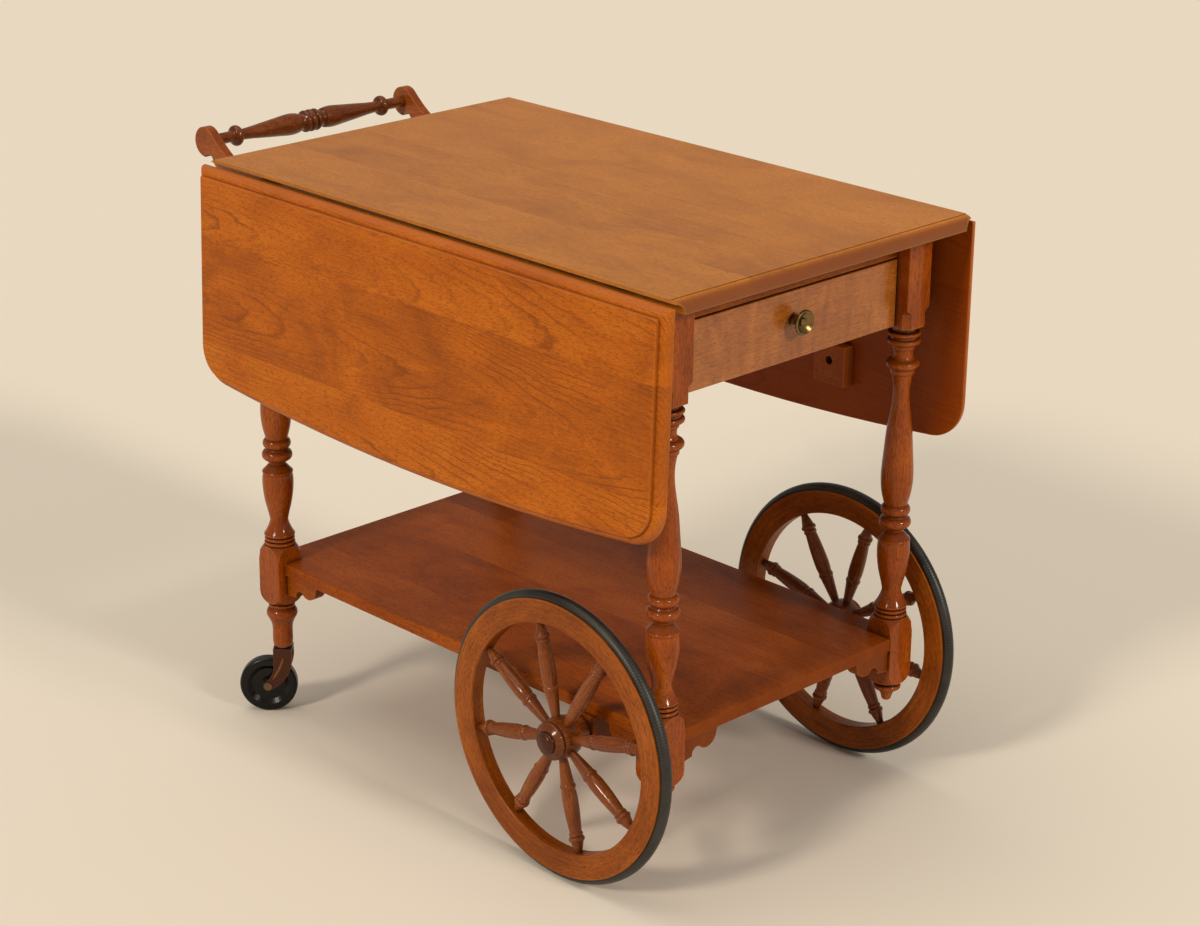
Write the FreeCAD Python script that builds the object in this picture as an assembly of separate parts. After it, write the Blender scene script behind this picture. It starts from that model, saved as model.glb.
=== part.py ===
import FreeCAD, Part
import math
import os

# Drop-leaf tea trolley in stained maple: a frame on four turned legs with a drawer, two drop leaves on
# rule joints, a lower shelf, two spoked wheels on a fixed axle and two swivel casters.
# Millimetres. +X is the drawer end, the handle is at -X, -Y is the near side, +Z is up from the floor.

V = FreeCAD.Vector
X_AXIS = V(1, 0, 0)
Y_AXIS = V(0, 1, 0)
Z_AXIS = V(0, 0, 1)
CENTRE = V(0, 0, 0)
overrun = 5.0              # how far a cut runs past the face that it opens
same_place_share = 0.0001  # of the overrun: points this near are the same

# Top and leaves
top_height = 741.0
top_length = 800.0
top_width = 490.0          # between the two rule joints
board_thickness = 17.0
top_end_round = 11.0       # thumbnail along the upper edge at the two short ends
top_end_quirk = 1.0        # step above the thumbnail
lip_thickness = 4.5        # lip over the cove of the rule joint
rule_radius = 11.0
rule_clearance = 0.6
leaf_overhang = 2.0        # a leaf's extra length at each end, past the top's
leaf_shift = 4.0           # of both leaves towards the handle
leaf_over_wheel = 85.0     # from the spoked wheels' tops up to the middle of a leaf's bowed edge
leaf_bow = 23.0
leaf_corner_radius = 50.0
leaf_face_round = 1.2
near_leaf_lean = 1.8       # degrees that the near leaf hangs outwards from upright

# Leaf hinges
hinge_places = (-300.0, 0.0, 300.0)
hinge_width = 38.0
hinge_knuckle_width = 14.0  # the middle knuckle, on the leaf's flap
hinge_plate = 1.6
hinge_pin_drop = 3.5        # below the centre of the cove
hinge_knuckle_radius = 3.4
hinge_pin_radius = 1.8
hinge_running_clearance = 0.05
hinge_gap = 0.5
hinge_groove_clearance = 0.8
hinge_top_flap = 27.0
hinge_leaf_flap = 45.0
hinge_screw_spacing = 22.0
hinge_screw_inset = 9.0     # from a flap's outer end
hinge_screw_length = 12.0
hinge_screw_radius = 1.7

# Legs and the frame round the drawer
leg_size = 40.0
leg_spacing_x = 686.0
side_overhang = 25.5        # of the top's long edges past the legs' outer faces
leg_edge_ease = 1.0
upper_block_length = 119.0
lower_block_rise = 22.0     # above the shelf's surface
front_block_length = 87.0
rear_block_length = 79.0
finial_length = 26.5
foot_bottom = 93.5
upper_chamfer = 8.0         # stopped chamfers on the corners, next to the turning
upper_chamfer_length = 24.0
upper_chamfer_run_out = 5.0
lower_chamfer = 3.5
lower_chamfer_top = 22.0
lower_chamfer_bottom = 14.0
lower_chamfer_run_out = 11.0
upper_pommel = 5.0          # rounded shoulders where the blocks meet the turning
lower_pommel_top = 30.0
lower_pommel_bottom = 22.0
apron_height = 114.0
apron_thickness = 18.0
apron_setback = 4.0         # behind the legs' outer faces
tenon_length = 18.0
tenon_thickness = 10.0
tenon_shoulder = 12.0
rail_height = 32.5
rail_depth = 40.0
rail_setback = 20.0
cleat_width = 20.0
cleat_height = 18.0
cleat_length = 600.0

# Drawer
drawer_front_setback = 18.0  # behind the front legs' faces
drawer_front_thickness = 18.0
drawer_gap = 0.8            # at the drawer front's two ends
drawer_top_gap = 2.0        # between the drawer front and the rail
drawer_front_drop = 2.0     # below the aprons
drawer_edge_ease = 1.0
drawer_side_thickness = 12.0
drawer_side_height = 58.0
drawer_length = 400.0
drawer_rabbet = 9.0
drawer_bottom_thickness = 5.0
drawer_bottom_lift = 6.0
drawer_groove = 5.0
drawer_back_drop = 6.0
drawer_slide_clearance = 0.3
runner_thickness = 12.0
runner_lip = 16.0           # bearing under a drawer side
guide_height = 25.0
knob_drop = 68.4            # from the top's underside to the knob's middle
knob_length = 18.5
knob_radius = 15.0
knob_screw_radius = 2.0
knob_screw_depth = 12.0
knob_screw_head = 4.5
knob_screw_head_height = 2.5

# Leaf supports: arms that swing out from the aprons, and the blocks that rest on them
block_thickness = 16.0
block_width = 48.0
block_length = 51.0
block_from_edge = 49.0      # outer end to the middle of the leaf's bowed edge
block_peg_inset = 21.0      # inner end to the peg hole
support_place = 202.0
arm_thickness = 13.0
arm_height = 30.0
arm_end = 15.0              # past the pivot and past the peg
arm_gap = 2.0               # to the apron
arm_lift_gap = 0.3          # below the cleat that it hangs from
support_cleat_length = 50.0
support_cleat_height = 17.0
support_cleat_overhang = 12.0
peg_radius = 5.0
peg_length = 8.0
peg_clearance = 0.5
pivot_radius = 4.0
pivot_head_radius = 8.0
pivot_head_height = 4.0
pivot_bite = 14.0
running_clearance = 0.05

# Shelf and its corner brackets
shelf_over_axle = 35.5      # axle's centre to the shelf's surface
shelf_thickness = 16.0
shelf_setback_x = 2.0       # behind the legs' outer faces
shelf_setback_y = 12.0
shelf_edge_round = 1.5
bracket_length = 58.0
bracket_drop = 28.0
bracket_thickness = 16.0
bracket_setback = 3.0

# Spoked wheels and axle
wheel_radius = 177.5
wheel_behind_leg = 115.5
wheel_off_leg = 27.5        # legs' outer faces to the wheels' centre planes
tyre_depth = 8.5
tyre_width = 15.0
tyre_shoulder = 3.0
rim_depth = 29.0
rim_width = 20.0
rim_ease = 1.5
spoke_count = 8
spoke_radius = 9.5
spoke_tenon_radius = 3.6
spoke_tenon_length = 12.0
spoke_tenon_inside = 8.0    # further into the hub than the seat
spoke_seat = 2.0            # how far the foot beds into the hub
near_wheel_turn = 14.0      # degrees from +X to the first spoke
far_wheel_turn = 30.0
hub_radius = 25.5
hub_nose = 20.5             # from the wheel's centre plane to the hub's outer face
hub_recess_radius = 11.0
hub_recess_depth = 6.0
cap_radius = 13.5
cap_height = 6.0
axle_radius = 6.35
axle_running_clearance = 0.06
axle_end_inset = 2.5        # inside the hub's outer face
washer_radius = 14.0
washer_thickness = 2.0
clip_radius = 10.0
clip_thickness = 1.5
axial_play = 0.3
bolster_width = 40.0
bolster_height = 37.0
bolster_inset = 8.0         # from the legs' outer faces

# Casters on the two rear legs
caster_wheel_radius = 37.5
caster_wheel_width = 17.0
caster_trail = 20.0
caster_turn = 45.0          # degrees from straight behind
caster_plate = 24.5
caster_sheet = 2.5
caster_boss_radius = 6.5
caster_axle_radius = 3.0
caster_rivet_radius = 5.0
caster_rivet_height = 1.6
caster_hub_radius = 9.0
caster_web = 8.0
caster_tread_depth = 10.0
caster_tread_round = 4.0
caster_stem_radius = 4.0
caster_stem_length = 33.0
caster_socket_wall = 1.4
caster_socket_length = 36.0
caster_flange_radius = 8.5
caster_flange = 3.0
caster_swivel_gap = 0.3

# Handle at the -X end
handle_reach = 108.0        # from the top's end to the bar
handle_drop = 13.0          # from the top's surface to the bar's middle
handle_inset = 34.0         # legs' axes to the arms' centre planes
handle_arm_thickness = 13.0
handle_arm_ease = 1.0
handle_scroll_radius = 19.5
handle_root_drop = 34.0     # from the top's underside to the arms' roots
handle_root_height = 50.0
handle_bar_radius = 14.5
handle_tenon_radius = 6.0
handle_tenon_length = 10.0

# Wood screws
screw_radius = 2.2
screw_head_radius = 4.4
screw_head_height = 3.0
top_screw_length = 30.0
top_screw_places = (-260.0, -90.0, 90.0, 260.0)
bolster_screw_length = 45.0
bolster_screw_places = (-150.0, -50.0, 50.0, 150.0)
handle_screw_length = 40.0
handle_screw_drop = 13.0    # from the root's upper and lower ends

# Turned outlines. Each row is a share of the turning's length and a share of its greatest radius: two
# numbers are a straight run to that point, four an arc through the first point to the second, and a list
# of points is one smooth curve.
leg_turning_shares = (
    (0.0, 0.86), (0.006, 0.7), (0.016, 0.7), (0.018, 0.92), (0.0245, 1.0, 0.031, 0.93), (0.034, 0.8),
    (0.041, 0.82), (0.0507, 1.0, 0.061, 0.84), (0.065, 0.69), (0.0745, 0.69), (0.077, 0.64),
    (0.096, 0.57, 0.112, 0.7), (0.114, 0.84), (0.1265, 1.0, 0.141, 0.84), (0.146, 0.74), (0.158, 0.73),
    (0.162, 0.65), [(0.19, 0.545), (0.228, 0.5), (0.262, 0.54), (0.344, 0.755), (0.4155, 0.87),
                    (0.477, 0.955), (0.5126, 0.98), (0.548, 0.94), (0.595, 0.765)],
    (0.609, 0.7), (0.6255, 0.9, 0.642, 0.76), (0.646, 0.7), (0.651, 0.76), (0.669, 0.98, 0.688, 0.72),
    (0.692, 0.6), (0.7015, 0.54), (0.7245, 0.92), (0.7295, 0.985, 0.735, 0.94),
    [(0.748, 0.98), (0.767, 1.0), (0.792, 0.98), (0.828, 0.9), (0.855, 0.8), (0.878, 0.69), (0.896, 0.62)],
    (0.908, 0.58), [(0.92, 0.63), (0.94, 0.78), (0.956, 0.94)], (0.961, 0.99, 0.966, 0.94),
    (0.969, 0.86), (0.976, 0.97, 0.983, 0.88), (0.985, 0.85), (0.991, 1.0, 0.998, 0.92), (1.0, 0.92),
)
finial_shares = (
    (0.0, 0.86), (0.08, 0.66), (0.12, 0.68), (0.27, 0.86, 0.43, 0.6), (0.5, 0.5), (0.62, 0.44),
    (0.66, 0.38), (0.95, 0.28), (1.0, 0.2),
)
foot_shares = (
    (0.0, 0.84), (0.04, 0.74), (0.08, 0.86, 0.12, 0.77), (0.14, 0.8), (0.24, 1.0, 0.36, 0.9),
    [(0.42, 0.81), (0.5, 0.71), (0.64, 0.65), (1.0, 0.61)],
)
spoke_shares = (
    (0.0, 0.5), (0.26, 0.84), (0.275, 0.85), (0.305, 0.98, 0.332, 0.88), (0.338, 0.86),
    [(0.38, 0.95), (0.47, 0.98), (0.57, 0.95), (0.776, 0.76)], (0.784, 0.79), (0.803, 0.88, 0.818, 0.8),
    (0.825, 0.78), (0.852, 1.0, 0.878, 0.82), (0.886, 0.78), (0.916, 0.69, 0.963, 0.52), (1.0, 0.45),
)
hub_shares = (
    (0.0, 0.62), (0.04, 0.68), (0.28, 0.7), (0.32, 0.86), (0.36, 0.93), (0.6, 1.0, 0.83, 0.93),
    (0.85, 0.84), (0.895, 0.9, 0.94, 0.8), (1.0, 0.64),
)
cap_shares = (
    (0.0, 1.0), (0.25, 1.0), (0.38, 0.98, 0.46, 0.86), (0.5, 0.78), (0.74, 0.68, 0.86, 0.48),
    (0.97, 0.25, 1.0, 0.04),
)
bar_shares = (
    (0.0, 1.0), (0.016, 0.97, 0.028, 0.86), (0.034, 0.82), (0.054, 0.99, 0.074, 0.84), (0.08, 0.76),
    (0.105, 0.66, 0.132, 0.78), (0.137, 0.88),
    [(0.2, 0.97), (0.3, 0.9), (0.5, 0.68), (0.66, 0.51), (0.715, 0.48)], (0.725, 0.6),
    (0.765, 0.93, 0.8, 0.62), (0.81, 0.5), (1.0, 0.5),
)
knob_shares = (
    (0.0, 0.52), (0.1, 0.52), (0.14, 0.4), [(0.38, 0.36), (0.6, 0.5), (0.8, 0.88)],
    (0.89, 1.0, 0.97, 0.95), (1.0, 0.87), (0.96, 0.79), (0.84, 0.58, 0.77, 0.4), (0.76, 0.33),
    (0.84, 0.29), (0.88, 0.16, 0.89, 0.04),
)
bracket_shares = ((0.29, 0.9), (0.31, 0.67, 0.5, 0.59), (0.56, 0.69), (0.82, 0.7, 0.97, 0.3), (1.0, 0.0))
horn_shares = ((0.0, 0.3), (0.12, 0.6), 0.4)
crook_shares = ((0.49, 0.7), (0.945, 0.835), (0.885, 0.75), (0.56, 0.3))

# Derived sizes
cove_height = top_height - lip_thickness - rule_radius
pin_height = cove_height - hinge_pin_drop
underside = top_height - board_thickness
flap_bottom = underside - hinge_plate
leaf_length = top_length + 2 * leaf_overhang
leaf_reach = pin_height - 2 * wheel_radius - leaf_over_wheel
block_from_pin = leaf_reach - block_from_edge - block_length
block_peg_from_pin = block_from_pin + block_peg_inset
upper_block_bottom = underside - upper_block_length
handle_height = top_height - handle_drop
handle_root_top = underside - handle_root_drop
half_top = top_width / 2
half_leg = leg_size / 2
leg_x = leg_spacing_x / 2
leg_y = half_top - side_overhang - half_leg
leg_inner_x = leg_x - half_leg
leg_inner_y = leg_y - half_leg
leg_outer_x = leg_x + half_leg
leg_outer_y = leg_y + half_leg
leaf_round = rule_radius - rule_clearance
apron_outer_y = leg_outer_y - apron_setback
apron_inner_y = apron_outer_y - apron_thickness
apron_bottom = underside - apron_height
end_apron_outer = -(leg_outer_x - apron_setback)
end_apron_inner = end_apron_outer + apron_thickness
drawer_face = leg_outer_x - drawer_front_setback
drawer_front_back = drawer_face - drawer_front_thickness
drawer_half = leg_inner_y - drawer_gap
drawer_inside = drawer_half - drawer_side_thickness
runner_top = apron_bottom + runner_thickness
drawer_side_bottom = runner_top + drawer_slide_clearance
drawer_side_top = drawer_side_bottom + drawer_side_height
drawer_back_end = drawer_face - drawer_length
drawer_floor = drawer_side_bottom + drawer_bottom_lift
drawer_front_bottom = apron_bottom - drawer_front_drop
drawer_front_top = underside - rail_height - drawer_top_gap
knob_height = underside - knob_drop
shelf_height = wheel_radius + shelf_over_axle
shelf_bottom = shelf_height - shelf_thickness
lower_block_top = shelf_height + lower_block_rise
front_block_bottom = lower_block_top - front_block_length
rear_block_bottom = lower_block_top - rear_block_length
finial_tip = front_block_bottom - finial_length
arm_top = underside - support_cleat_height - arm_lift_gap
arm_y = -(apron_outer_y + arm_gap + arm_thickness / 2)
arm_reach = half_top + block_peg_from_pin + arm_y
wheel_x = leg_x - wheel_behind_leg
wheel_y = leg_outer_y + wheel_off_leg
wheel_centre = V(wheel_x, -wheel_y, wheel_radius)
rim_outer = wheel_radius - tyre_depth
rim_inner = rim_outer - rim_depth
bolster_end = leg_outer_y - bolster_inset
hub_inner_end = wheel_y - bolster_end - washer_thickness - axial_play
hub_length = hub_inner_end + hub_nose
bar_x = -(top_length / 2 + handle_reach)
handle_y = leg_y - handle_inset
arm_inner_y = handle_y - handle_arm_thickness / 2
caster_plate_top = foot_bottom - caster_flange - caster_swivel_gap
# The origin is on the floor, half-way between the handle's end and the front of the spoked wheels.
to_origin = V((handle_scroll_radius - bar_x - wheel_x - wheel_radius) / 2, 0, 0)


def box(x, y, z):
    """Block between the low and high ends of each axis."""
    return Part.makeBox(x[1] - x[0], y[1] - y[0], z[1] - z[0], V(x[0], y[0], z[0]))


def rod(radius, start, end):
    return Part.makeCylinder(radius, (end - start).Length, start, end - start)


def mirrored(shape):
    """The same piece for the far side."""
    return shape.mirror(CENTRE, Y_AXIS)


def both_sides(shape):
    return Part.makeCompound([shape, mirrored(shape)])


def drilled(shape, threads):
    for thread in threads:
        shape = shape.cut(thread)
    return shape


def both_sides_of(threads):
    return threads + [mirrored(thread) for thread in threads]


def outline(start, steps):
    """Closed wire from a start point: a point is a straight run, a pair is an arc's middle and end."""
    edges = []
    at = start
    for step in steps:
        end = step[1] if isinstance(step, tuple) else step
        if isinstance(step, tuple):
            edges.append(Part.Arc(at, step[0], end).toShape())
        else:
            edges.append(Part.LineSegment(at, end).toShape())
        at = end
    if (at - start).Length > 0:
        edges.append(Part.LineSegment(at, start).toShape())
    return Part.Wire(edges)


def turned(rows, length, radius, base, direction):
    """Solid turned about the line from base along direction, from rows of shares."""
    def at(h_share, r_share):
        return V(radius * r_share, 0, length * h_share)
    here = at(*rows[0])
    edges = [Part.LineSegment(V(0, 0, here.z), here).toShape()]
    for row in rows[1:]:
        if isinstance(row, list):
            points = [here] + [at(*share) for share in row]
            curve = Part.BSplineCurve()
            curve.interpolate(points)
            edges.append(curve.toShape())
            here = points[-1]
        elif len(row) == 4:
            end = at(*row[2:])
            edges.append(Part.Arc(here, at(*row[:2]), end).toShape())
            here = end
        else:
            end = at(*row)
            edges.append(Part.LineSegment(here, end).toShape())
            here = end
    if here.x > 0:
        edges.append(Part.LineSegment(here, V(0, 0, here.z)).toShape())
    edges.append(Part.LineSegment(V(0, 0, here.z), V(0, 0, length * rows[0][0])).toShape())
    solid = Part.Face(Part.Wire(edges)).revolve(CENTRE, Z_AXIS, 360)
    solid.Placement = FreeCAD.Placement(base, FreeCAD.Rotation(Z_AXIS, direction))
    return solid


def edges_where(shape, test):
    """Edges whose two ends and middle all pass a test on the point."""
    found = []
    for edge in shape.Edges:
        middle = edge.valueAt((edge.FirstParameter + edge.LastParameter) / 2)
        if all(test(p) for p in [v.Point for v in edge.Vertexes] + [middle]):
            found.append(edge)
    return found


def close(a, b):
    return abs(a - b) < overrun * same_place_share


def screw(head, direction, length, radius, head_radius, head_height):
    """Countersunk wood screw whose head is flush at the head point."""
    along = V(direction).normalize()
    cone = Part.makeCone(head_radius, radius, head_height, head, along)
    return cone.fuse(rod(radius, head + along * head_height, head + along * length)).removeSplitter()


def wood_screw(head, direction, length):
    return screw(head, direction, length, screw_radius, screw_head_radius, screw_head_height)


def hinge_screw(head, direction):
    flare = hinge_plate
    return screw(head, direction, hinge_screw_length, hinge_screw_radius, hinge_screw_radius + flare, flare)


# Top board with a cove along both long edges
def make_top():
    wide = half_top - rule_radius
    diagonal = rule_radius * math.sqrt(0.5)
    x = -top_length / 2
    cove_top = top_height - lip_thickness

    def p(y, z):
        return V(x, y, z)
    section = outline(p(-half_top, top_height), [
        p(half_top, top_height), p(half_top, cove_top),
        (p(half_top - diagonal, cove_height + diagonal), p(wide, cove_height)),
        p(wide, underside), p(-wide, underside), p(-wide, cove_height),
        (p(-half_top + diagonal, cove_height + diagonal), p(-half_top, cove_top))])
    board = Part.Face(section).extrude(V(top_length, 0, 0))
    for end in (-1, 1):
        board = board.cut(end_round(end))
    return board


def end_round(end):
    """What the thumbnail and its quirk take off the upper edge at one short end."""
    edge = end * top_length / 2
    inside = edge - end * top_end_round
    y = half_top + overrun
    low = top_height - top_end_quirk - top_end_round
    waste = box(sorted((inside, edge + end * overrun)), (-y, y), (low, top_height + overrun))
    return waste.cut(rod(top_end_round, V(inside, -y, low), V(inside, y, low)))


# Leaf in its raised place on the near side, before it is turned down about the hinge pin
def leaf_outline(inset, height):
    half = leaf_length / 2 - inset
    bow_radius = ((leaf_length / 2) ** 2 + leaf_bow ** 2) / (2 * leaf_bow)
    bow_centre = leaf_reach - bow_radius
    corner = leaf_corner_radius - inset
    corner_x = leaf_length / 2 - leaf_corner_radius
    corner_a = bow_centre + math.sqrt((bow_radius - leaf_corner_radius) ** 2 - corner_x ** 2)
    lean = math.atan2(corner_x, corner_a - bow_centre)
    middle = (lean + math.pi / 2) / 2

    def p(x, a):
        return V(x - leaf_shift, -half_top - a, height)

    def on_corner(side, angle):
        return p(side * (corner_x + corner * math.sin(angle)), corner_a + corner * math.cos(angle))
    inner = -leaf_round + inset
    return outline(p(-half, inner), [
        p(half, inner), p(half, corner_a),
        (on_corner(1, middle), on_corner(1, lean)),
        (p(0, leaf_reach - inset), on_corner(-1, lean)),
        (on_corner(-1, middle), p(-half, corner_a))])


def make_leaf():
    shoulder = cove_height + leaf_round
    lower = Part.Face(leaf_outline(0, underside)).extrude(V(0, 0, shoulder - underside))
    lower = lower.makeFillet(leaf_round, edges_where(lower, lambda q: close(q.z, shoulder)))
    upper = Part.Face(leaf_outline(rule_radius, shoulder)).extrude(V(0, 0, top_height - shoulder))
    upper = upper.makeFillet(leaf_face_round, edges_where(upper, lambda q: close(q.z, top_height)))
    leaf = lower.fuse(upper).removeSplitter()
    for x in hinge_places:
        reach = hinge_width / 2 + hinge_gap
        start = V(x - reach, -half_top, pin_height)
        groove = rod(hinge_knuckle_radius + hinge_groove_clearance, start, start + V(2 * reach, 0, 0))
        leaf = leaf.cut(groove)
    return drilled(leaf, leaf_hinge_screws())


def hinge_flap(x, sign, length, knuckles, others):
    """One flap of a hinge: a plate under the boards, with its knuckles on the pin's line."""
    ends = sorted((-half_top, -half_top - sign * length))
    flap = box((x - hinge_width / 2, x + hinge_width / 2), ends, (flap_bottom, underside))
    pin_line = V(0, -half_top, pin_height)
    gap_ends = sorted((-half_top + sign * overrun, -half_top - sign * (hinge_knuckle_radius + hinge_gap)))
    for a, b in others:
        flap = flap.cut(box((x + a - hinge_gap, x + b + hinge_gap), gap_ends,
                            (flap_bottom - overrun, underside + overrun)))
    for a, b in knuckles:
        flap = flap.fuse(rod(hinge_knuckle_radius, pin_line + V(x + a, 0, 0), pin_line + V(x + b, 0, 0)))
    return flap.removeSplitter()


def knuckle_spans():
    middle = hinge_knuckle_width / 2
    outer = hinge_width / 2
    return [(-middle, middle)], [(-outer, -middle - hinge_gap), (middle + hinge_gap, outer)]


def pin_rod(x, radius, extra):
    reach = hinge_width / 2 + extra
    start = V(x - reach, -half_top, pin_height)
    return rod(radius, start, start + V(2 * reach, 0, 0))


def make_leaf_flaps():
    flaps = []
    inner, outer = knuckle_spans()
    for x in hinge_places:
        flap = hinge_flap(x, 1, hinge_leaf_flap, inner, outer)
        flap = flap.cut(pin_rod(x, hinge_pin_radius + hinge_running_clearance, overrun))
        flaps.append(flap)
    for thread in leaf_hinge_screws():
        flaps = [flap.cut(thread) for flap in flaps]
    return Part.makeCompound(flaps)


def make_top_flaps():
    flaps = []
    inner, outer = knuckle_spans()
    for x in hinge_places:
        flap = hinge_flap(x, -1, hinge_top_flap, outer, inner)
        flaps.append(flap.cut(pin_rod(x, hinge_pin_radius, overrun)))
    for thread in top_hinge_screws():
        flaps = [flap.cut(thread) for flap in flaps]
    return Part.makeCompound(flaps)


def hinge_screw_row(y):
    half = hinge_screw_spacing / 2
    return [hinge_screw(V(x + s * half, y, flap_bottom), Z_AXIS) for x in hinge_places for s in (-1, 1)]


def leaf_hinge_screws():
    return hinge_screw_row(-half_top - hinge_leaf_flap + hinge_screw_inset)


def top_hinge_screws():
    return hinge_screw_row(-half_top + hinge_top_flap - hinge_screw_inset)


def make_leaf_block():
    """Block under a raised leaf, with the hole that takes the support arm's peg."""
    half = block_width / 2
    start = -half_top - block_from_pin
    block = box((support_place - half, support_place + half), (start - block_length, start),
                (underside - block_thickness, underside))
    hole = V(support_place, -half_top - block_peg_from_pin, underside - block_thickness - overrun)
    depth = overrun + peg_length + peg_clearance
    return block.cut(rod(peg_radius + peg_clearance, hole, hole + V(0, 0, depth)))


def hung(shape, lean):
    """Turn a raised leaf's piece down about the hinge pin, to within its lean of upright."""
    turned_down = shape.copy()
    turned_down.rotate(V(0, -half_top, pin_height), X_AXIS, 90 - lean)
    return turned_down


# Leaf support: an arm on a vertical pivot under a cleat, folded along the side apron
def make_support_arm():
    half = arm_thickness / 2
    arm = box((support_place - arm_reach - arm_end, support_place + arm_end), (arm_y - half, arm_y + half),
              (arm_top - arm_height, arm_top))
    corners = edges_where(arm, lambda q: close(q.x, support_place - arm_reach - arm_end)
                          or close(q.x, support_place + arm_end))
    upright = [e for e in corners if close(e.Vertexes[0].Point.x, e.Vertexes[1].Point.x)
               and not close(e.Vertexes[0].Point.z, e.Vertexes[1].Point.z)]
    arm = arm.makeFillet(half / 2, upright)
    low = V(support_place, arm_y, arm_top - arm_height - overrun)
    arm = arm.cut(rod(pivot_radius + running_clearance, low, low + V(0, 0, arm_height + 2 * overrun)))
    peg_foot = V(support_place - arm_reach, arm_y, arm_top - arm_height / 2)
    peg_tip = V(peg_foot.x, arm_y, arm_top + peg_length)
    peg = rod(peg_radius, peg_foot, peg_tip)
    return Part.makeCompound([arm.cut(peg), peg])


def make_support_cleat():
    half = support_cleat_length / 2
    cleat = box((support_place - half, support_place + half),
                (arm_y - support_cleat_overhang, -apron_outer_y),
                (underside - support_cleat_height, underside))
    return cleat.cut(make_support_pivot())


def make_support_pivot():
    """Shouldered steel screw that the arm swings on, head below."""
    arm_bottom = V(support_place, arm_y, arm_top - arm_height - running_clearance)
    shank = rod(pivot_radius, arm_bottom, V(support_place, arm_y, arm_top + arm_lift_gap + pivot_bite))
    head = rod(pivot_head_radius, arm_bottom - V(0, 0, pivot_head_height), arm_bottom)
    return shank.fuse(head).removeSplitter()


# Legs: square blocks with stopped chamfers, a turned baluster between, and a finial or a foot
def pommel(low, high, round_low, round_high):
    """Round bar over a block's corners whose ends are rounded in, to trim the block with."""
    corner = half_leg * math.sqrt(2)
    across = (corner - half_leg) * math.sqrt(0.5)
    along = 1 - math.sqrt(0.5)
    section = outline(V(0, 0, low), [
        V(half_leg, 0, low),
        (V(half_leg + across, 0, low + round_low * along), V(corner, 0, low + round_low)),
        V(corner, 0, high - round_high),
        (V(half_leg + across, 0, high - round_high * along), V(half_leg, 0, high)),
        V(0, 0, high)])
    return Part.Face(section).revolve(CENTRE, Z_AXIS, 360)


def leg_block(low, high, chamfer, chamfer_low, chamfer_high, run_out):
    """Square block with stopped chamfers at its ends, each fading out towards the block's middle."""
    def section(z, cut):
        h = half_leg
        corners = [V(h, -h + cut, z), V(h, h - cut, z), V(h - cut, h, z), V(-h + cut, h, z),
                   V(-h, h - cut, z), V(-h, -h + cut, z), V(-h + cut, -h, z), V(h - cut, -h, z)]
        return Part.makePolygon(corners + corners[:1])

    def straight(start, end, cut):
        return Part.Face(section(start, cut)).extrude(V(0, 0, end - start))

    def fading(start, end):
        return Part.makeLoft([section(start, leg_edge_ease), section(end, chamfer)], True, True)
    plain_low = low + chamfer_low
    plain_high = high - chamfer_high
    block = straight(plain_low, plain_high, leg_edge_ease)
    pieces = [fading(plain_low, plain_low - run_out), straight(plain_low - run_out, low, chamfer)]
    if chamfer_high > 0:
        pieces += [fading(plain_high, plain_high + run_out), straight(plain_high + run_out, high, chamfer)]
    return block.fuse(pieces)


def make_leg(block_bottom, end_shares, end_height):
    down = V(0, 0, -1)
    baluster = turned(leg_turning_shares, upper_block_bottom - lower_block_top, half_leg,
                      V(0, 0, upper_block_bottom), down)
    foot = turned(end_shares, block_bottom - end_height, half_leg, V(0, 0, block_bottom), down)
    upper = leg_block(upper_block_bottom, underside, upper_chamfer, upper_chamfer_length, 0,
                      upper_chamfer_run_out)
    upper = upper.common(pommel(upper_block_bottom, underside + leg_size, upper_pommel, half_leg))
    ends = (block_bottom, lower_block_top)
    lower = leg_block(*ends, lower_chamfer, lower_chamfer_bottom, lower_chamfer_top, lower_chamfer_run_out)
    lower = lower.common(pommel(*ends, lower_pommel_bottom, lower_pommel_top))
    return upper.fuse([baluster, lower, foot]).removeSplitter()


def placed_leg(end, side):
    """A leg in its corner, mortised for the apron tenons that reach it."""
    if end > 0:
        leg = make_leg(front_block_bottom, finial_shares, finial_tip)
    else:
        leg = make_leg(rear_block_bottom, foot_shares, foot_bottom)
    leg.translate(V(end * leg_x, side * leg_y, 0))
    apron = make_side_apron()
    leg = leg.cut(apron if side < 0 else mirrored(apron))
    if end < 0:
        leg = leg.cut(make_end_apron())
        axis = V(-leg_x, side * leg_y, foot_bottom)
        sleeve = caster_stem_radius + running_clearance + caster_socket_wall
        leg = leg.cut(rod(sleeve, axis - V(0, 0, overrun), axis + V(0, 0, caster_socket_length)))
    return leg


# Aprons, drawer rail and cleats under the top
def tenon_heights():
    return apron_bottom + tenon_shoulder, underside - tenon_shoulder


def make_side_apron():
    apron = box((-leg_inner_x, leg_inner_x), (-apron_outer_y, -apron_inner_y), (apron_bottom, underside))
    middle = -(apron_outer_y + apron_inner_y) / 2
    half = tenon_thickness / 2
    reach = leg_inner_x + tenon_length
    tenons = box((-reach, reach), (middle - half, middle + half), tenon_heights())
    return apron.fuse(tenons).removeSplitter()


def make_end_apron():
    apron = box((end_apron_outer, end_apron_inner), (-leg_inner_y, leg_inner_y), (apron_bottom, underside))
    middle = (end_apron_outer + end_apron_inner) / 2
    half = tenon_thickness / 2
    reach = leg_inner_y + tenon_length
    tenons = box((middle - half, middle + half), (-reach, reach), tenon_heights())
    return drilled(apron.fuse(tenons).removeSplitter(), handle_screws())


def make_drawer_rail():
    front = leg_outer_x - rail_setback
    return box((front - rail_depth, front), (-leg_inner_y, leg_inner_y),
               (underside - rail_height, underside))


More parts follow.
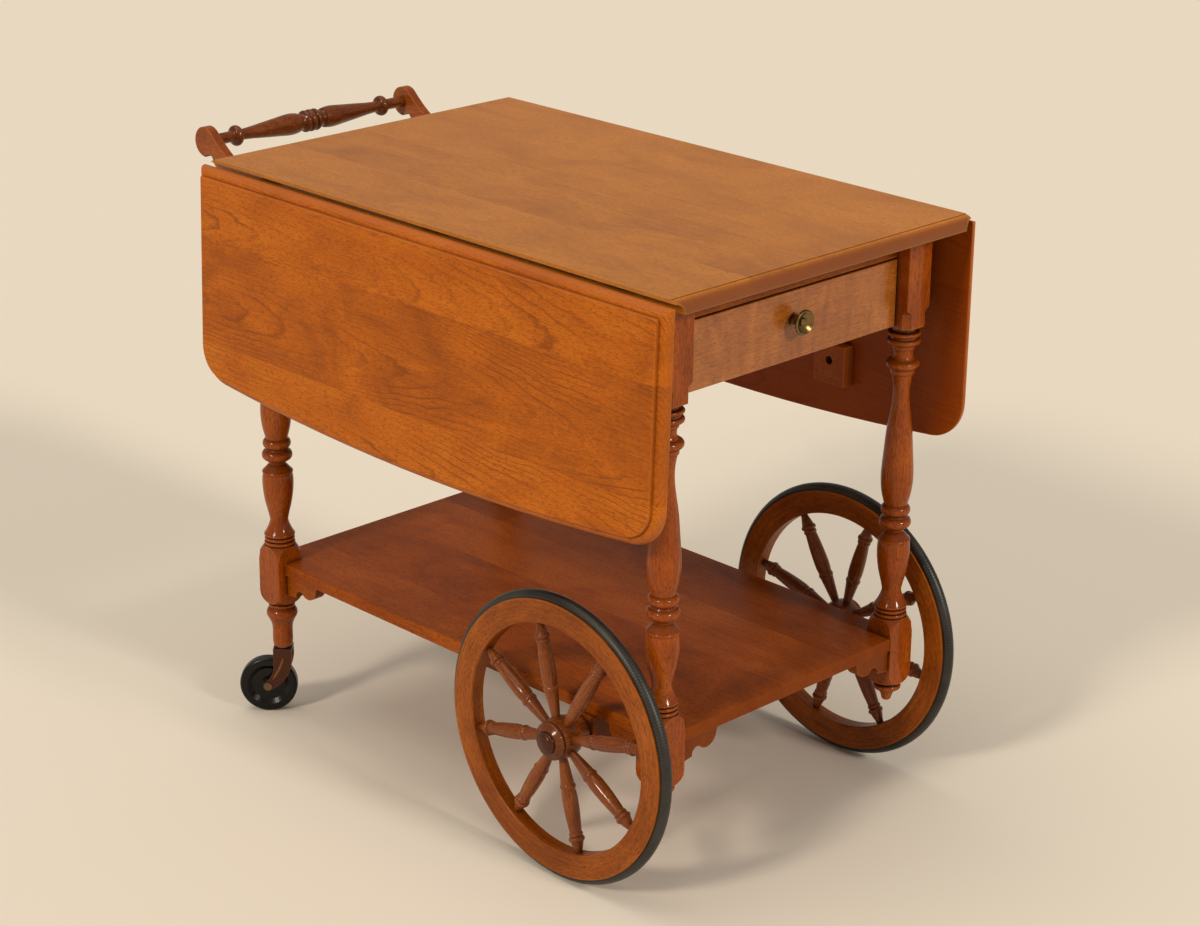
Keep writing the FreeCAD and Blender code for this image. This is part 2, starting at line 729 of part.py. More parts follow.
def make_top_cleat():
    half = cleat_length / 2
    cleat = box((-half, half), (-apron_inner_y, -apron_inner_y + cleat_width),
                (underside - cleat_height, underside))
    return drilled(cleat, top_screws())


def top_screws():
    y = -apron_inner_y + cleat_width / 2
    low = underside - cleat_height
    return [wood_screw(V(x, y, low), Z_AXIS, top_screw_length) for x in top_screw_places]


def make_drawer_runner():
    """Runner with an upright guide, along the inside of the side apron."""
    y = -apron_inner_y
    ends = (end_apron_inner, leg_inner_x)
    base = box(ends, (y, -leg_inner_y + runner_lip), (apron_bottom, runner_top))
    guide = box(ends, (y, -leg_inner_y), (runner_top, runner_top + guide_height))
    return base.fuse(guide).removeSplitter().cut(rear_leg_corner())


def rear_leg_corner():
    reach = leg_inner_x
    return box((-reach - leg_size, -reach), (-leg_inner_y - leg_size, -leg_inner_y), (0, underside))


# Drawer: rabbeted front, grooved sides and front for the bottom, back above the bottom
def make_drawer_side():
    side = box((drawer_back_end, drawer_front_back + drawer_rabbet), (-drawer_half, -drawer_inside),
               (drawer_side_bottom, drawer_side_top))
    return side.cut(make_drawer_bottom())


def make_drawer_bottom():
    half = drawer_inside + drawer_groove
    return box((drawer_back_end, drawer_front_back + drawer_groove), (-half, half),
               (drawer_floor, drawer_floor + drawer_bottom_thickness))


def make_drawer_back():
    return box((drawer_back_end, drawer_back_end + drawer_side_thickness), (-drawer_inside, drawer_inside),
               (drawer_floor + drawer_bottom_thickness, drawer_side_top - drawer_back_drop))


def make_drawer_front():
    front = box((drawer_front_back, drawer_face), (-drawer_half, drawer_half),
                (drawer_front_bottom, drawer_front_top))
    front = front.makeFillet(drawer_edge_ease, edges_where(front, lambda q: close(q.x, drawer_face)))
    side = make_drawer_side()
    side = side.fuse(make_drawer_bottom())
    return front.cut(side).cut(mirrored(side)).cut(make_knob_screw())


def make_knob():
    knob = turned(knob_shares, knob_length, knob_radius, V(drawer_face, 0, knob_height), X_AXIS)
    return knob.cut(make_knob_screw())


def make_knob_screw():
    back = V(drawer_front_back, 0, knob_height)
    shank = rod(knob_screw_radius, back, V(drawer_face + knob_screw_depth, 0, knob_height))
    head = rod(knob_screw_head, back - V(knob_screw_head_height, 0, 0), back)
    return shank.fuse(head).removeSplitter()


# Shelf, notched round the legs, and the scrolled brackets in its corners
def make_shelf():
    x = leg_outer_x - shelf_setback_x
    y = leg_outer_y - shelf_setback_y
    shelf = box((-x, x), (-y, y), (shelf_bottom, shelf_height))
    rim = edges_where(shelf, lambda q: close(q.z, shelf_height) or close(q.z, shelf_bottom))
    shelf = shelf.makeFillet(shelf_edge_round, rim)
    for sx in (-1, 1):
        for sy in (-1, 1):
            corner_x = sorted((sx * leg_inner_x, sx * (leg_outer_x + overrun)))
            corner_y = sorted((sy * leg_inner_y, sy * (leg_outer_y + overrun)))
            shelf = shelf.cut(box(corner_x, corner_y, (shelf_bottom - overrun, shelf_height + overrun)))
    return drilled(shelf, bolster_screws())


def make_bracket(corner, along, across):
    """Scrolled bracket from a leg's face along the shelf's edge, drawn from the shelf's underside down."""
    def p(a_share, d_share):
        return corner + along * (bracket_length * a_share) - Z_AXIS * (bracket_drop * d_share)
    steps = [p(0.0, 1.0)]
    for row in bracket_shares:
        steps.append((p(*row[:2]), p(*row[2:])) if len(row) == 4 else p(*row))
    return Part.Face(outline(p(0.0, 0.0), steps)).extrude(across * bracket_thickness)


def make_brackets():
    brackets = []
    edge_x = leg_outer_x - shelf_setback_x - bracket_setback
    edge_y = leg_outer_y - shelf_setback_y - bracket_setback
    for sx in (-1, 1):
        for sy in (-1, 1):
            side_corner = V(sx * leg_inner_x, sy * edge_y, shelf_bottom)
            end_corner = V(sx * edge_x, sy * leg_inner_y, shelf_bottom)
            brackets.append(make_bracket(side_corner, X_AXIS * -sx, Y_AXIS * -sy))
            brackets.append(make_bracket(end_corner, Y_AXIS * -sy, X_AXIS * -sx))
    return Part.makeCompound(brackets)


# Axle in its bolster, and the two spoked wheels
def make_bolster():
    half = bolster_width / 2
    bolster = box((wheel_x - half, wheel_x + half), (-bolster_end, bolster_end),
                  (shelf_bottom - bolster_height, shelf_bottom))
    return drilled(bolster, [make_axle()] + bolster_screws())


def bolster_screws():
    x = wheel_x + (bolster_width + 2 * axle_radius) / 4
    low = shelf_bottom - bolster_height
    return [wood_screw(V(x, y, low), Z_AXIS, bolster_screw_length) for y in bolster_screw_places]


def make_axle():
    end = wheel_y + hub_nose - axle_end_inset
    return rod(axle_radius, V(wheel_x, -end, wheel_radius), V(wheel_x, end, wheel_radius))


def axle_ring(radius, start, end):
    ring = rod(radius, V(wheel_x, start, wheel_radius), V(wheel_x, end, wheel_radius))
    return ring.cut(make_axle())


def make_washers():
    recess = -(wheel_y + hub_nose - hub_recess_depth + axial_play)
    inner = axle_ring(washer_radius, -bolster_end - washer_thickness, -bolster_end)
    clip = axle_ring(clip_radius, recess - clip_thickness, recess)
    return Part.makeCompound([inner, mirrored(inner), clip, mirrored(clip)])


def wheel_point(out):
    return V(0, -out, 0)


def at_axle(shape):
    """A wheel's piece, drawn about the origin, moved to the near end of the axle."""
    shape.translate(wheel_centre)
    return shape


def spoke_direction(turn, index):
    angle = math.radians(turn + 360.0 * index / spoke_count)
    return V(math.cos(angle), 0, math.sin(angle))


def make_spokes(turn):
    spokes = []
    hub = hub_blank()
    middle = wheel_point(0)
    foot_radius = hub_radius - spoke_seat
    for index in range(spoke_count):
        along = spoke_direction(turn, index)
        foot = middle + along * foot_radius
        end = middle + along * rim_inner
        spoke = turned(spoke_shares, rim_inner - foot_radius, spoke_radius, foot, along).cut(hub)
        bedded = foot + along * (spoke_seat + spoke_tenon_radius)
        inner_tenon = rod(spoke_tenon_radius, foot - along * spoke_tenon_inside, bedded)
        outer_tenon = rod(spoke_tenon_radius, end, end + along * spoke_tenon_length)
        spokes.append(spoke.fuse([inner_tenon, outer_tenon]).removeSplitter())
    return spokes


def hub_blank():
    return turned(hub_shares, hub_length, hub_radius, wheel_point(-hub_inner_end), V(0, -1, 0))


def make_hub(spokes):
    hub = hub_blank()
    bore = axle_radius + axle_running_clearance
    hub = hub.cut(rod(bore, wheel_point(-hub_inner_end - overrun), wheel_point(hub_nose + overrun)))
    recess = wheel_point(hub_nose - hub_recess_depth)
    hub = hub.cut(rod(hub_recess_radius, recess, wheel_point(hub_nose + overrun)))
    return hub.cut(spokes)


def make_rim(spokes):
    half = rim_width / 2
    rim = rod(rim_outer, wheel_point(-half), wheel_point(half))
    rim = rim.cut(rod(rim_inner, wheel_point(-half - overrun), wheel_point(half + overrun)))
    middle = wheel_point(0)
    sides = edges_where(rim, lambda q: close(abs(q.y - middle.y), half) and (q - middle).Length < rim_outer)
    return rim.makeChamfer(rim_ease, sides).cut(spokes)


def make_tyre():
    half = tyre_width / 2
    low = rim_outer
    shoulder = rim_outer + tyre_shoulder

    def p(radius, out):
        return wheel_point(out) + V(radius, 0, 0)
    section = outline(p(low, -half), [
        p(shoulder, -half), (p(wheel_radius, 0), p(shoulder, half)), p(low, half)])
    return Part.Face(section).revolve(wheel_point(0), Y_AXIS, 360)


def make_cap():
    return turned(cap_shares, cap_height, cap_radius, wheel_point(hub_nose), V(0, -1, 0))


# Swivel casters, drawn straight behind the leg and then turned about the stem
def caster_parts(side):
    axis = V(-leg_x, side * leg_y, 0)
    hub = axis + V(-caster_trail, 0, caster_wheel_radius)
    parts = {
        "fork": make_caster_fork(axis, hub),
        "stem": make_caster_stem(axis),
        "wheel": make_caster_wheel(hub),
        "axle": make_caster_axle(hub),
    }
    for shape in parts.values():
        shape.rotate(axis, Z_AXIS, caster_turn)
    return parts


def make_caster_fork(axis, hub):
    half = caster_plate / 2
    top = caster_plate_top
    plate = box((axis.x - half, axis.x + half), (axis.y - half, axis.y + half), (top - caster_sheet, top))
    plate = plate.cut(rod(caster_stem_radius, axis, axis + V(0, 0, foot_bottom)))
    drop = top - hub.z
    reach = axis.x + half - hub.x

    def p(back_share, down_share):
        return V(axis.x + half - reach * back_share, axis.y - half, top - drop * down_share)
    boss = V(hub.x, axis.y - half, hub.z)
    diagonal = caster_boss_radius * math.sqrt(0.5)
    front_run, front_sweep, throat_share = horn_shares
    lower = boss + V(diagonal, 0, -diagonal)
    behind = boss + V(-diagonal, 0, diagonal)
    throat = V(axis.x - half, axis.y - half, top - drop * throat_share)
    horn = outline(p(0.0, 0.0), [
        p(*front_run), (p(*front_sweep), lower), (boss - V(diagonal, 0, diagonal), behind),
        (V((behind.x + throat.x) / 2 + diagonal, throat.y, (behind.z + throat.z) / 2), throat),
        V(axis.x - half, axis.y - half, top)])
    cheek = Part.Face(horn).extrude(V(0, caster_sheet, 0))
    cheek = cheek.cut(rod(caster_axle_radius, hub - V(0, caster_plate, 0), hub + V(0, caster_plate, 0)))
    other = cheek.copy()
    other.translate(V(0, caster_plate - caster_sheet, 0))
    return plate.fuse([cheek, other]).removeSplitter()


def make_caster_stem(axis):
    low = axis + V(0, 0, caster_plate_top - caster_sheet)
    return rod(caster_stem_radius, low, axis + V(0, 0, foot_bottom + caster_stem_length))


def make_caster_socket():
    axis = V(-leg_x, -leg_y, foot_bottom)
    bore = caster_stem_radius + running_clearance
    up = V(0, 0, caster_socket_length)
    sleeve = rod(bore + caster_socket_wall, axis, axis + up)
    flange = rod(caster_flange_radius, axis - V(0, 0, caster_flange), axis)
    return sleeve.fuse(flange).removeSplitter().cut(rod(bore, axis - V(0, 0, overrun), axis + up * 2))


def make_caster_wheel(hub):
    half = caster_wheel_width / 2
    rim = rod(caster_wheel_radius, hub - V(0, half, 0), hub + V(0, half, 0))
    rim = rim.makeFillet(caster_tread_round, edges_where(rim, lambda q: close(abs(q.y - hub.y), half)))
    dish_depth = (caster_wheel_width - caster_web) / 2
    for sign in (-1, 1):
        outer = hub + V(0, sign * half, 0)
        floor = hub + V(0, sign * (half - dish_depth), 0)
        dish = Part.makeCone(caster_wheel_radius - 2 * caster_tread_depth + dish_depth,
                             caster_wheel_radius - caster_tread_depth, dish_depth, floor, outer - floor)
        rim = rim.cut(dish.cut(rod(caster_hub_radius, floor, outer)))
    bore = caster_axle_radius + running_clearance
    return rim.cut(rod(bore, hub - V(0, caster_plate, 0), hub + V(0, caster_plate, 0)))


def make_caster_axle(hub):
    half = caster_plate / 2
    axle = rod(caster_axle_radius, hub - V(0, half, 0), hub + V(0, half, 0))
    for sign in (-1, 1):
        face = hub + V(0, sign * half, 0)
        axle = axle.fuse(rod(caster_rivet_radius, face, face + V(0, sign * caster_rivet_height, 0)))
    return axle.removeSplitter()


# Handle: two crook-ended arms on the end apron, with a turned bar between them
def make_handle_arm():
    root = end_apron_outer
    low = handle_root_top - handle_root_height
    reach = root - bar_x
    rise = handle_height - low
    y = -(handle_y + handle_arm_thickness / 2)

    def p(share):
        return V(root - reach * share[0], y, low + rise * share[1])
    scroll = V(bar_x, y, handle_height)
    radius = handle_scroll_radius
    diagonal = radius * math.sqrt(0.5)
    sweep, notch, heel, belly = [p(share) for share in crook_shares]
    profile = outline(V(root, y, low), [
        V(root, y, handle_root_top), (sweep, scroll + V(diagonal, 0, diagonal)),
        (scroll - V(radius, 0, 0), scroll - V(0, 0, radius)),
        (notch, heel), (belly, V(root, y, low))])
    arm = Part.Face(profile).extrude(V(0, handle_arm_thickness, 0))
    rims = edges_where(arm, lambda q: (close(q.y, y) or close(q.y, y + handle_arm_thickness))
                       and q.x < root - handle_arm_ease)
    arm = arm.makeChamfer(handle_arm_ease, rims)
    return drilled(arm, [make_handle_bar()] + handle_screws())


def make_handle_bar():
    middle = V(bar_x, 0, handle_height)
    half = turned(bar_shares, arm_inner_y, handle_bar_radius, middle, V(0, -1, 0))
    end = V(bar_x, -arm_inner_y, handle_height)
    half = half.fuse(rod(handle_tenon_radius, end, end - V(0, handle_tenon_length, 0)))
    return half.fuse(mirrored(half)).removeSplitter()


def handle_screws():
    """Screws from inside the end apron into the arms' roots."""
    y = handle_y
    upper = handle_root_top - handle_screw_drop
    lower = handle_root_top - handle_root_height + handle_screw_drop
    heads = [V(end_apron_inner, s * y, z) for s in (-1, 1) for z in (upper, lower)]
    return [wood_screw(head, V(-1, 0, 0), handle_screw_length) for head in heads]


def make_all():
    parts = {}
    parts["top_board"] = drilled(make_top(), both_sides_of(top_screws() + top_hinge_screws()))
    parts["leg_front_near"] = placed_leg(1, -1)
    parts["leg_front_far"] = placed_leg(1, 1)
    parts["leg_rear_near"] = placed_leg(-1, -1)
    parts["leg_rear_far"] = placed_leg(-1, 1)
    parts["side_apron_near"] = make_side_apron()
    parts["side_apron_far"] = mirrored(make_side_apron())
    parts["end_apron"] = make_end_apron()
    parts["drawer_rail"] = make_drawer_rail()
    parts["drawer_runners"] = both_sides(make_drawer_runner())
    parts["top_cleats"] = both_sides(make_top_cleat())
    parts["shelf_board"] = make_shelf()
    parts["shelf_brackets"] = make_brackets()
    parts["axle_bolster"] = make_bolster()
    parts["axle"] = make_axle()
    parts["axle_washers"] = make_washers()
    parts["handle_arm_near"] = make_handle_arm()
    parts["handle_arm_far"] = mirrored(make_handle_arm())
    parts["handle_bar"] = make_handle_bar()
    parts["frame_screws"] = Part.makeCompound(
        both_sides_of(top_screws() + top_hinge_screws()) + bolster_screws() + handle_screws())
    parts["hinge_top_flaps"] = both_sides(make_top_flaps())
    pins = Part.makeCompound([pin_rod(x, hinge_pin_radius, 0) for x in hinge_places])
    parts["hinge_pins"] = both_sides(pins)
    parts["support_cleats"] = both_sides(make_support_cleat())
    parts["support_pivots"] = both_sides(make_support_pivot())
    parts["caster_sockets"] = both_sides(make_caster_socket())
    raised = {
        "leaf": make_leaf(),
        "leaf_block": make_leaf_block(),
        "leaf_hinge_flaps": make_leaf_flaps(),
        "leaf_hinge_screws": Part.makeCompound(leaf_hinge_screws()),
    }
    for name, shape in raised.items():
        parts[name + "_near"] = hung(shape, near_leaf_lean)
        parts[name + "_far"] = mirrored(hung(shape, 0))
    near_only = {
        "support_arm": make_support_arm(),
        "drawer_side": make_drawer_side(),
        "wheel_tyre": at_axle(make_tyre()),
        "wheel_cap": at_axle(make_cap()),
    }
    for name, shape in near_only.items():
        parts[name + "_near"] = shape
        parts[name + "_far"] = mirrored(shape)
    parts["drawer_front"] = make_drawer_front()
    parts["drawer_back"] = make_drawer_back()
    parts["drawer_bottom"] = make_drawer_bottom()
    parts["drawer_knob"] = make_knob()
    parts["knob_screw"] = make_knob_screw()
    for place, turn in (("near", near_wheel_turn), ("far", far_wheel_turn)):
        spokes = make_spokes(turn)
        wheel = {"hub": make_hub(spokes), "rim": make_rim(spokes), "spokes": Part.makeCompound(spokes)}
        for name, shape in wheel.items():
            shape = at_axle(shape)
            parts["wheel_%s_%s" % (name, place)] = shape if place == "near" else mirrored(shape)
    for place, side in (("near", -1), ("far", 1)):
        for name, shape in caster_parts(side).items():
            parts["caster_%s_%s" % (name, place)] = shape
    return parts


os.makedirs("parts", exist_ok=True)
for node, shape in make_all().items():
    shape.translate(to_origin)
    if not shape.isValid():
        print("not valid:", node)
    shape.exportStep("parts/%s.step" % node)
    print(node, len(shape.Solids), "solids", round(shape.Volume), "mm3")
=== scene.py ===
import math
import bmesh
import bpy
from mathutils import Matrix, Vector
from mathutils.geometry import interpolate_bezier


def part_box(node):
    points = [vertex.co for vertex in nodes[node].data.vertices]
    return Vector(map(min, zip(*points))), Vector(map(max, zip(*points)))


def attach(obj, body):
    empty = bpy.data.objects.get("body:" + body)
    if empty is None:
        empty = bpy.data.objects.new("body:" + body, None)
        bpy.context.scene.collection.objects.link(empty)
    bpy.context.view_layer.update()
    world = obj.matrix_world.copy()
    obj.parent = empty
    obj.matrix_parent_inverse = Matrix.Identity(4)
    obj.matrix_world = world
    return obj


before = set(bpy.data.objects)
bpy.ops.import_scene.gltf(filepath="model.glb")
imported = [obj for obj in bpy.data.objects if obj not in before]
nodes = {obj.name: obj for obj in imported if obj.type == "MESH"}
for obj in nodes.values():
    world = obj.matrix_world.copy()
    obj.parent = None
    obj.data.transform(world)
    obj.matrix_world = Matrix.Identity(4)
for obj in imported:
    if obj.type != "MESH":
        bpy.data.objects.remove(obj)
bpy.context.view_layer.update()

# Top board and leaves: glued-up maple boards, planed, sanded, stained red-brown and lacquered to a satin
# gloss. The two leaves hang on rule joints along the top's long edges. Long grain runs the trolley's length.
MM = 0.001
X, Y, Z = 0, 1, 2
RING = 4.4 * MM           # one year's growth
RING_SWAY = 40 * MM       # how far the rings wander along a board
RING_WAVER = 3.0 * MM     # how far they shake over a thumb's width
BOARD_SHIFT = 410 * MM    # each glued board takes its pattern from another place
CREVICE_STAIN_AND_SHADE_REACH = 11 * MM   # painted shade, with some stain gathered there, darkens the wood this near an inner corner
ARRIS_REACH = 3.0 * MM    # and is rubbed off this near an outer edge
GRAIN_RELIEF = 0.3 * MM   # height of the grain under the lacquer
GRAIN_BUMP = 0.12
LACQUER_IOR, COAT_ROUGHNESS = 1.5, 0.1
CREVICE_STAIN_AND_SHADE_COLOUR = "#1c0a04"
SHADE_SAMPLES = 8

# Each kind of mark: its length along the grain, its width across it and the settings of its noise. Fibres and
# flecks are drawn coarser than real ones, so that they show.
MARKS = {
    "sway": (250 * MM, 76.9 * MM, {"Detail": 2.0}),
    "waver": (23.8 * MM, 10.53 * MM, {"Detail": 2.0}),
    "patch": (181.8 * MM, 66.7 * MM, {"Detail": 2.0}),
    "fibre": (48 * MM, 1.9 * MM, {"Detail": 3.0, "Distortion": 0.3}),
    "fleck": (6.0 * MM, 1.1 * MM, {"Detail": 2.0}),
    "cloud": (130 * MM, 75 * MM, {"Detail": 6.0, "Roughness": 0.6, "Distortion": 0.9}),
    "curl": (24 * MM, 110 * MM, {"Detail": 3.0, "Distortion": 1.6}),
}
MARKS_START = {"patch": (3.0, 7.0, 1.0)}  # keeps the patches apart from the sway, which is about as wide

# A ring stays pale through the year and ends in a thin dark line. Each edge gives the two values of a mark or a
# shade between which a layer comes in.
LATEWOOD = ((0.0, 0.0), (0.7, 0.06), (0.92, 1.0), (1.0, 0.0))
STAIN_STOPS = (0.1, 0.5, 0.9)
PATCH_EDGE, FAINT_SHARE = (0.42, 0.62), 0.2
FLECK_EDGE, FLECK_SHARE = (0.5, 0.64), 0.6
END_GRAIN_AND_EDGE_SHADE_EDGE = (0.2, 0.7)
BARE_AND_SHADE_SHARE = 0.75
CREVICE_STAIN_AND_SHADE_EDGE = (0.3, 0.88)
ARRIS_EDGE = (0.45, 0.9)
SHEEN_EDGE, SMOOTHER, ROUGHER = (0.25, 0.75), 0.06, 0.08

MIX_SHARE, MIX_FROM, MIX_TO, MIX_RESULT = 0, 6, 7, 2  # the colour sockets of a Mix node


def linear(hex_colour):
    """sRGB hex to the linear RGBA that shader sockets take."""
    parts = [int(hex_colour[i:i + 2], 16) / 255 for i in (1, 3, 5)]
    return [p / 12.92 if p <= 0.04045 else ((p + 0.055) / 1.055) ** 2.4 for p in parts] + [1.0]


def feed(tree, node, values):
    """Set a node's inputs, named or in order, to plain values or link them to the sockets that feed them."""
    for key, value in values.items() if isinstance(values, dict) else enumerate(values):
        if isinstance(value, bpy.types.NodeSocket):
            tree.links.new(value, node.inputs[key])
        else:
            node.inputs[key].default_value = value


def add(tree, kind, inputs=(), ramp=None, out=0, **settings):
    """Add a node with its settings and links, and give back one of its outputs, or all of them for None."""
    node = tree.nodes.new(kind)
    for key, value in settings.items():
        setattr(node, key, value)
    feed(tree, node, inputs)
    if ramp:
        stops = node.color_ramp.elements
        while len(stops) < len(ramp):
            stops.new(1.0)
        for stop, (place, value) in zip(stops, ramp):
            stop.position = place
            stop.color = linear(value) if isinstance(value, str) else [value, value, value, 1.0]
    return node.outputs if out is None else node.outputs[out]


def new_material(name):
    """An empty node material, its tree and its Principled shader."""
    material = bpy.data.materials.new(name)
    material.use_nodes = True
    tree = material.node_tree
    return material, tree, tree.nodes["Principled BSDF"]


def straight_grain(along, across, deep, ends=1.0, edge_shade=0.0):
    """Long grain, board width and board depth, read straight from the object's axes, and how dark a face turns
    where it turns away from the board's flat: stain drunk at the ends, painted shade along the edges."""
    def read(tree):
        place = add(tree, "ShaderNodeTexCoord", out=None)
        axes = add(tree, "ShaderNodeSeparateXYZ", [place["Object"]], out=None)
        facing = add(tree, "ShaderNodeSeparateXYZ", [place["Normal"]], out=None)
        thirst_and_edge_shade = 0.0
        for axis, share in ((along, ends), (across, edge_shade)):
            turned = add(tree, "ShaderNodeMath", [facing[axis]], operation="ABSOLUTE")
            thirst_and_edge_shade = add(tree, "ShaderNodeMath", [turned, share, thirst_and_edge_shade], operation="MULTIPLY_ADD")
        return axes[along], axes[across], axes[deep], thirst_and_edge_shade
    return read


def across_boards(tree, across, joints, values):
    """One value for each glued board, changing at the joints between them."""
    total = values[0]
    for joint, before, after in zip(joints, values, values[1:]):
        past = add(tree, "ShaderNodeMath", [across, joint], operation="GREATER_THAN")
        total = add(tree, "ShaderNodeMath", [past, after - before, total], operation="MULTIPLY_ADD")
    return total


def stained_maple(name, grain, light, mid, dark, joints=(), tones=(0.0,), piths=(0.0,), depth=60 * MM,
                  tilt=0.03, figure=0.4, cloud=0.9, streak=0.5, curl=0.0, crevice=0.0, wear=0.25, soak_and_shade=0.5,
                  soak_and_shade_colour=None, rough=0.36, specular=0.12, coat=0.0, bare_and_shaded_face=None):
    """Lacquered maple: growth rings round a pith behind the board, fibres, short flecks and uneven stain.
    The lacquer gives a soft wide highlight; painted shade, with some gathered stain, darkens the crevices,
    and the stain wears pale on the arrises. Painted shade also darkens a leaf's edge bands and a far leaf's
    inner face."""
    material, tree, shader = new_material(name)
    along, across, deep, thirst_and_edge_shade = grain(tree)
    tone = across_boards(tree, across, joints, tones)
    pith = across_boards(tree, across, joints, piths)
    board = across_boards(tree, across, joints, range(len(tones)))
    apart = add(tree, "ShaderNodeMath", [board, BOARD_SHIFT, deep], operation="MULTIPLY_ADD")
    place = add(tree, "ShaderNodeCombineXYZ", [along, across, apart])
    marks = {}
    for kind, (length, width, noise) in MARKS.items():
        at = add(tree, "ShaderNodeMapping", {"Vector": place, "Location": MARKS_START.get(kind, (0, 0, 0)),
                                             "Scale": (1 / length, 1 / width, 1 / width)})
        marks[kind] = add(tree, "ShaderNodeTexNoise", {"Vector": at, "Scale": 1.0, **noise})

    # Rings: how far a point lies from a tilted pith, counted in years, and shown more in some patches than in
    # others. Flecks lie over them.
    from_mid = add(tree, "ShaderNodeMath", [across, pith], operation="SUBTRACT")
    from_mid = add(tree, "ShaderNodeMath", [marks["sway"], RING_SWAY, from_mid], operation="MULTIPLY_ADD")
    below = add(tree, "ShaderNodeMath", [along, tilt, deep], operation="MULTIPLY_ADD")
    below = add(tree, "ShaderNodeMath", [below, depth], operation="ADD")
    section = add(tree, "ShaderNodeCombineXYZ", [from_mid, below])
    radius = add(tree, "ShaderNodeVectorMath", [section], out="Value", operation="LENGTH")
    radius = add(tree, "ShaderNodeMath", [marks["waver"], RING_WAVER, radius], operation="MULTIPLY_ADD")
    years = add(tree, "ShaderNodeMath", [radius, RING], operation="DIVIDE")
    season = add(tree, "ShaderNodeMath", [years], operation="FRACT")
    latewood = add(tree, "ShaderNodeValToRGB", [season], ramp=LATEWOOD)
    shown = add(tree, "ShaderNodeMapRange", [marks["patch"], *PATCH_EDGE, FAINT_SHARE * figure, figure])
    line = add(tree, "ShaderNodeMath", [latewood, shown], operation="MULTIPLY")
    fleck = add(tree, "ShaderNodeMapRange", [marks["fleck"], *FLECK_EDGE, 0.0, FLECK_SHARE])

    # Stain: a run through the three colours that the marks push either way from the middle one.
    pushes = {"cloud": cloud, "curl": curl, "fibre": streak}
    stain = add(tree, "ShaderNodeMath", [tone, (1 - sum(pushes.values())) / 2], operation="ADD")
    for kind, share in pushes.items():
        stain = add(tree, "ShaderNodeMath", [marks[kind], share, stain], operation="MULTIPLY_ADD")
    body = add(tree, "ShaderNodeValToRGB", [stain], ramp=list(zip(STAIN_STOPS, (dark, mid, light))))

    # Layers over the stain, from the wood outwards: the share of each and its colour.
    layers = [(line, dark), (fleck, dark)]
    # End grain drinks more stain; on the leaves' top and bottom edge bands the same layer is painted shade.
    if thirst_and_edge_shade:
        soak_and_edge_shade = add(tree, "ShaderNodeMapRange", [thirst_and_edge_shade, *END_GRAIN_AND_EDGE_SHADE_EDGE, 0.0, soak_and_shade])
        layers.append((soak_and_edge_shade, soak_and_shade_colour or dark))
    # The far leaf's inner face: darker in part as bare wood, in part as painted shade.
    if bare_and_shaded_face:
        start, finish, bare_and_shaded_colour = bare_and_shaded_face
        bare_and_shaded = add(tree, "ShaderNodeMapRange", [deep, start, finish, BARE_AND_SHADE_SHARE, 0.0])
        layers.append((bare_and_shaded, bare_and_shaded_colour))
    # Painted shade, with some gathered stain: near black wherever other surfaces of the wood lie close by.
    if crevice:
        open_air = add(tree, "ShaderNodeAmbientOcclusion", {"Distance": CREVICE_STAIN_AND_SHADE_REACH}, out="AO",
                       samples=SHADE_SAMPLES)
        hollow_darkening = add(tree, "ShaderNodeMapRange", [open_air, *CREVICE_STAIN_AND_SHADE_EDGE, crevice, 0.0])
        layers.append((hollow_darkening, CREVICE_STAIN_AND_SHADE_COLOUR))
    arris = add(tree, "ShaderNodeAmbientOcclusion", {"Distance": ARRIS_REACH}, out="AO",
                samples=SHADE_SAMPLES, inside=True)
    rubbed = add(tree, "ShaderNodeMapRange", [arris, *ARRIS_EDGE, wear, 0.0])
    layers.append((rubbed, light))
    for share, colour in layers:
        body = add(tree, "ShaderNodeMix", {MIX_SHARE: share, MIX_FROM: body, MIX_TO: linear(colour)},
                   out=MIX_RESULT, data_type="RGBA")

    sheen = add(tree, "ShaderNodeMapRange", [marks["fibre"], *SHEEN_EDGE, rough - SMOOTHER, rough + ROUGHER])
    relief = add(tree, "ShaderNodeMath", [marks["fibre"], fleck], operation="SUBTRACT")
    bump = add(tree, "ShaderNodeBump", {"Height": relief, "Strength": GRAIN_BUMP, "Distance": GRAIN_RELIEF})
    feed(tree, shader, {"Base Color": body, "Roughness": sheen, "Normal": bump, "IOR": LACQUER_IOR,
                        "Specular IOR Level": specular, "Coat Weight": coat,
                        "Coat Roughness": COAT_ROUGHNESS})
    return material


def dress(material, *names):
    """Give CAD nodes their finish."""
    for node_name in names:
        nodes[node_name].data.materials[0] = material


TOP_JOINTS = (-128 * MM, -12 * MM, 96 * MM)
LEAF_JOINTS = (515 * MM, 649 * MM)
FAR_LEAF_INNER = (248 * MM, 249.5 * MM)  # depth over which the far leaf's inner face ends; painted shade and bare wood make it darker
# On the leaves the edge share and the soaked colour paint shade on the top and bottom edge bands; at the ends
# they are end grain.
leaf_grain = straight_grain(X, Z, Y, ends=0.4, edge_shade=1.0)
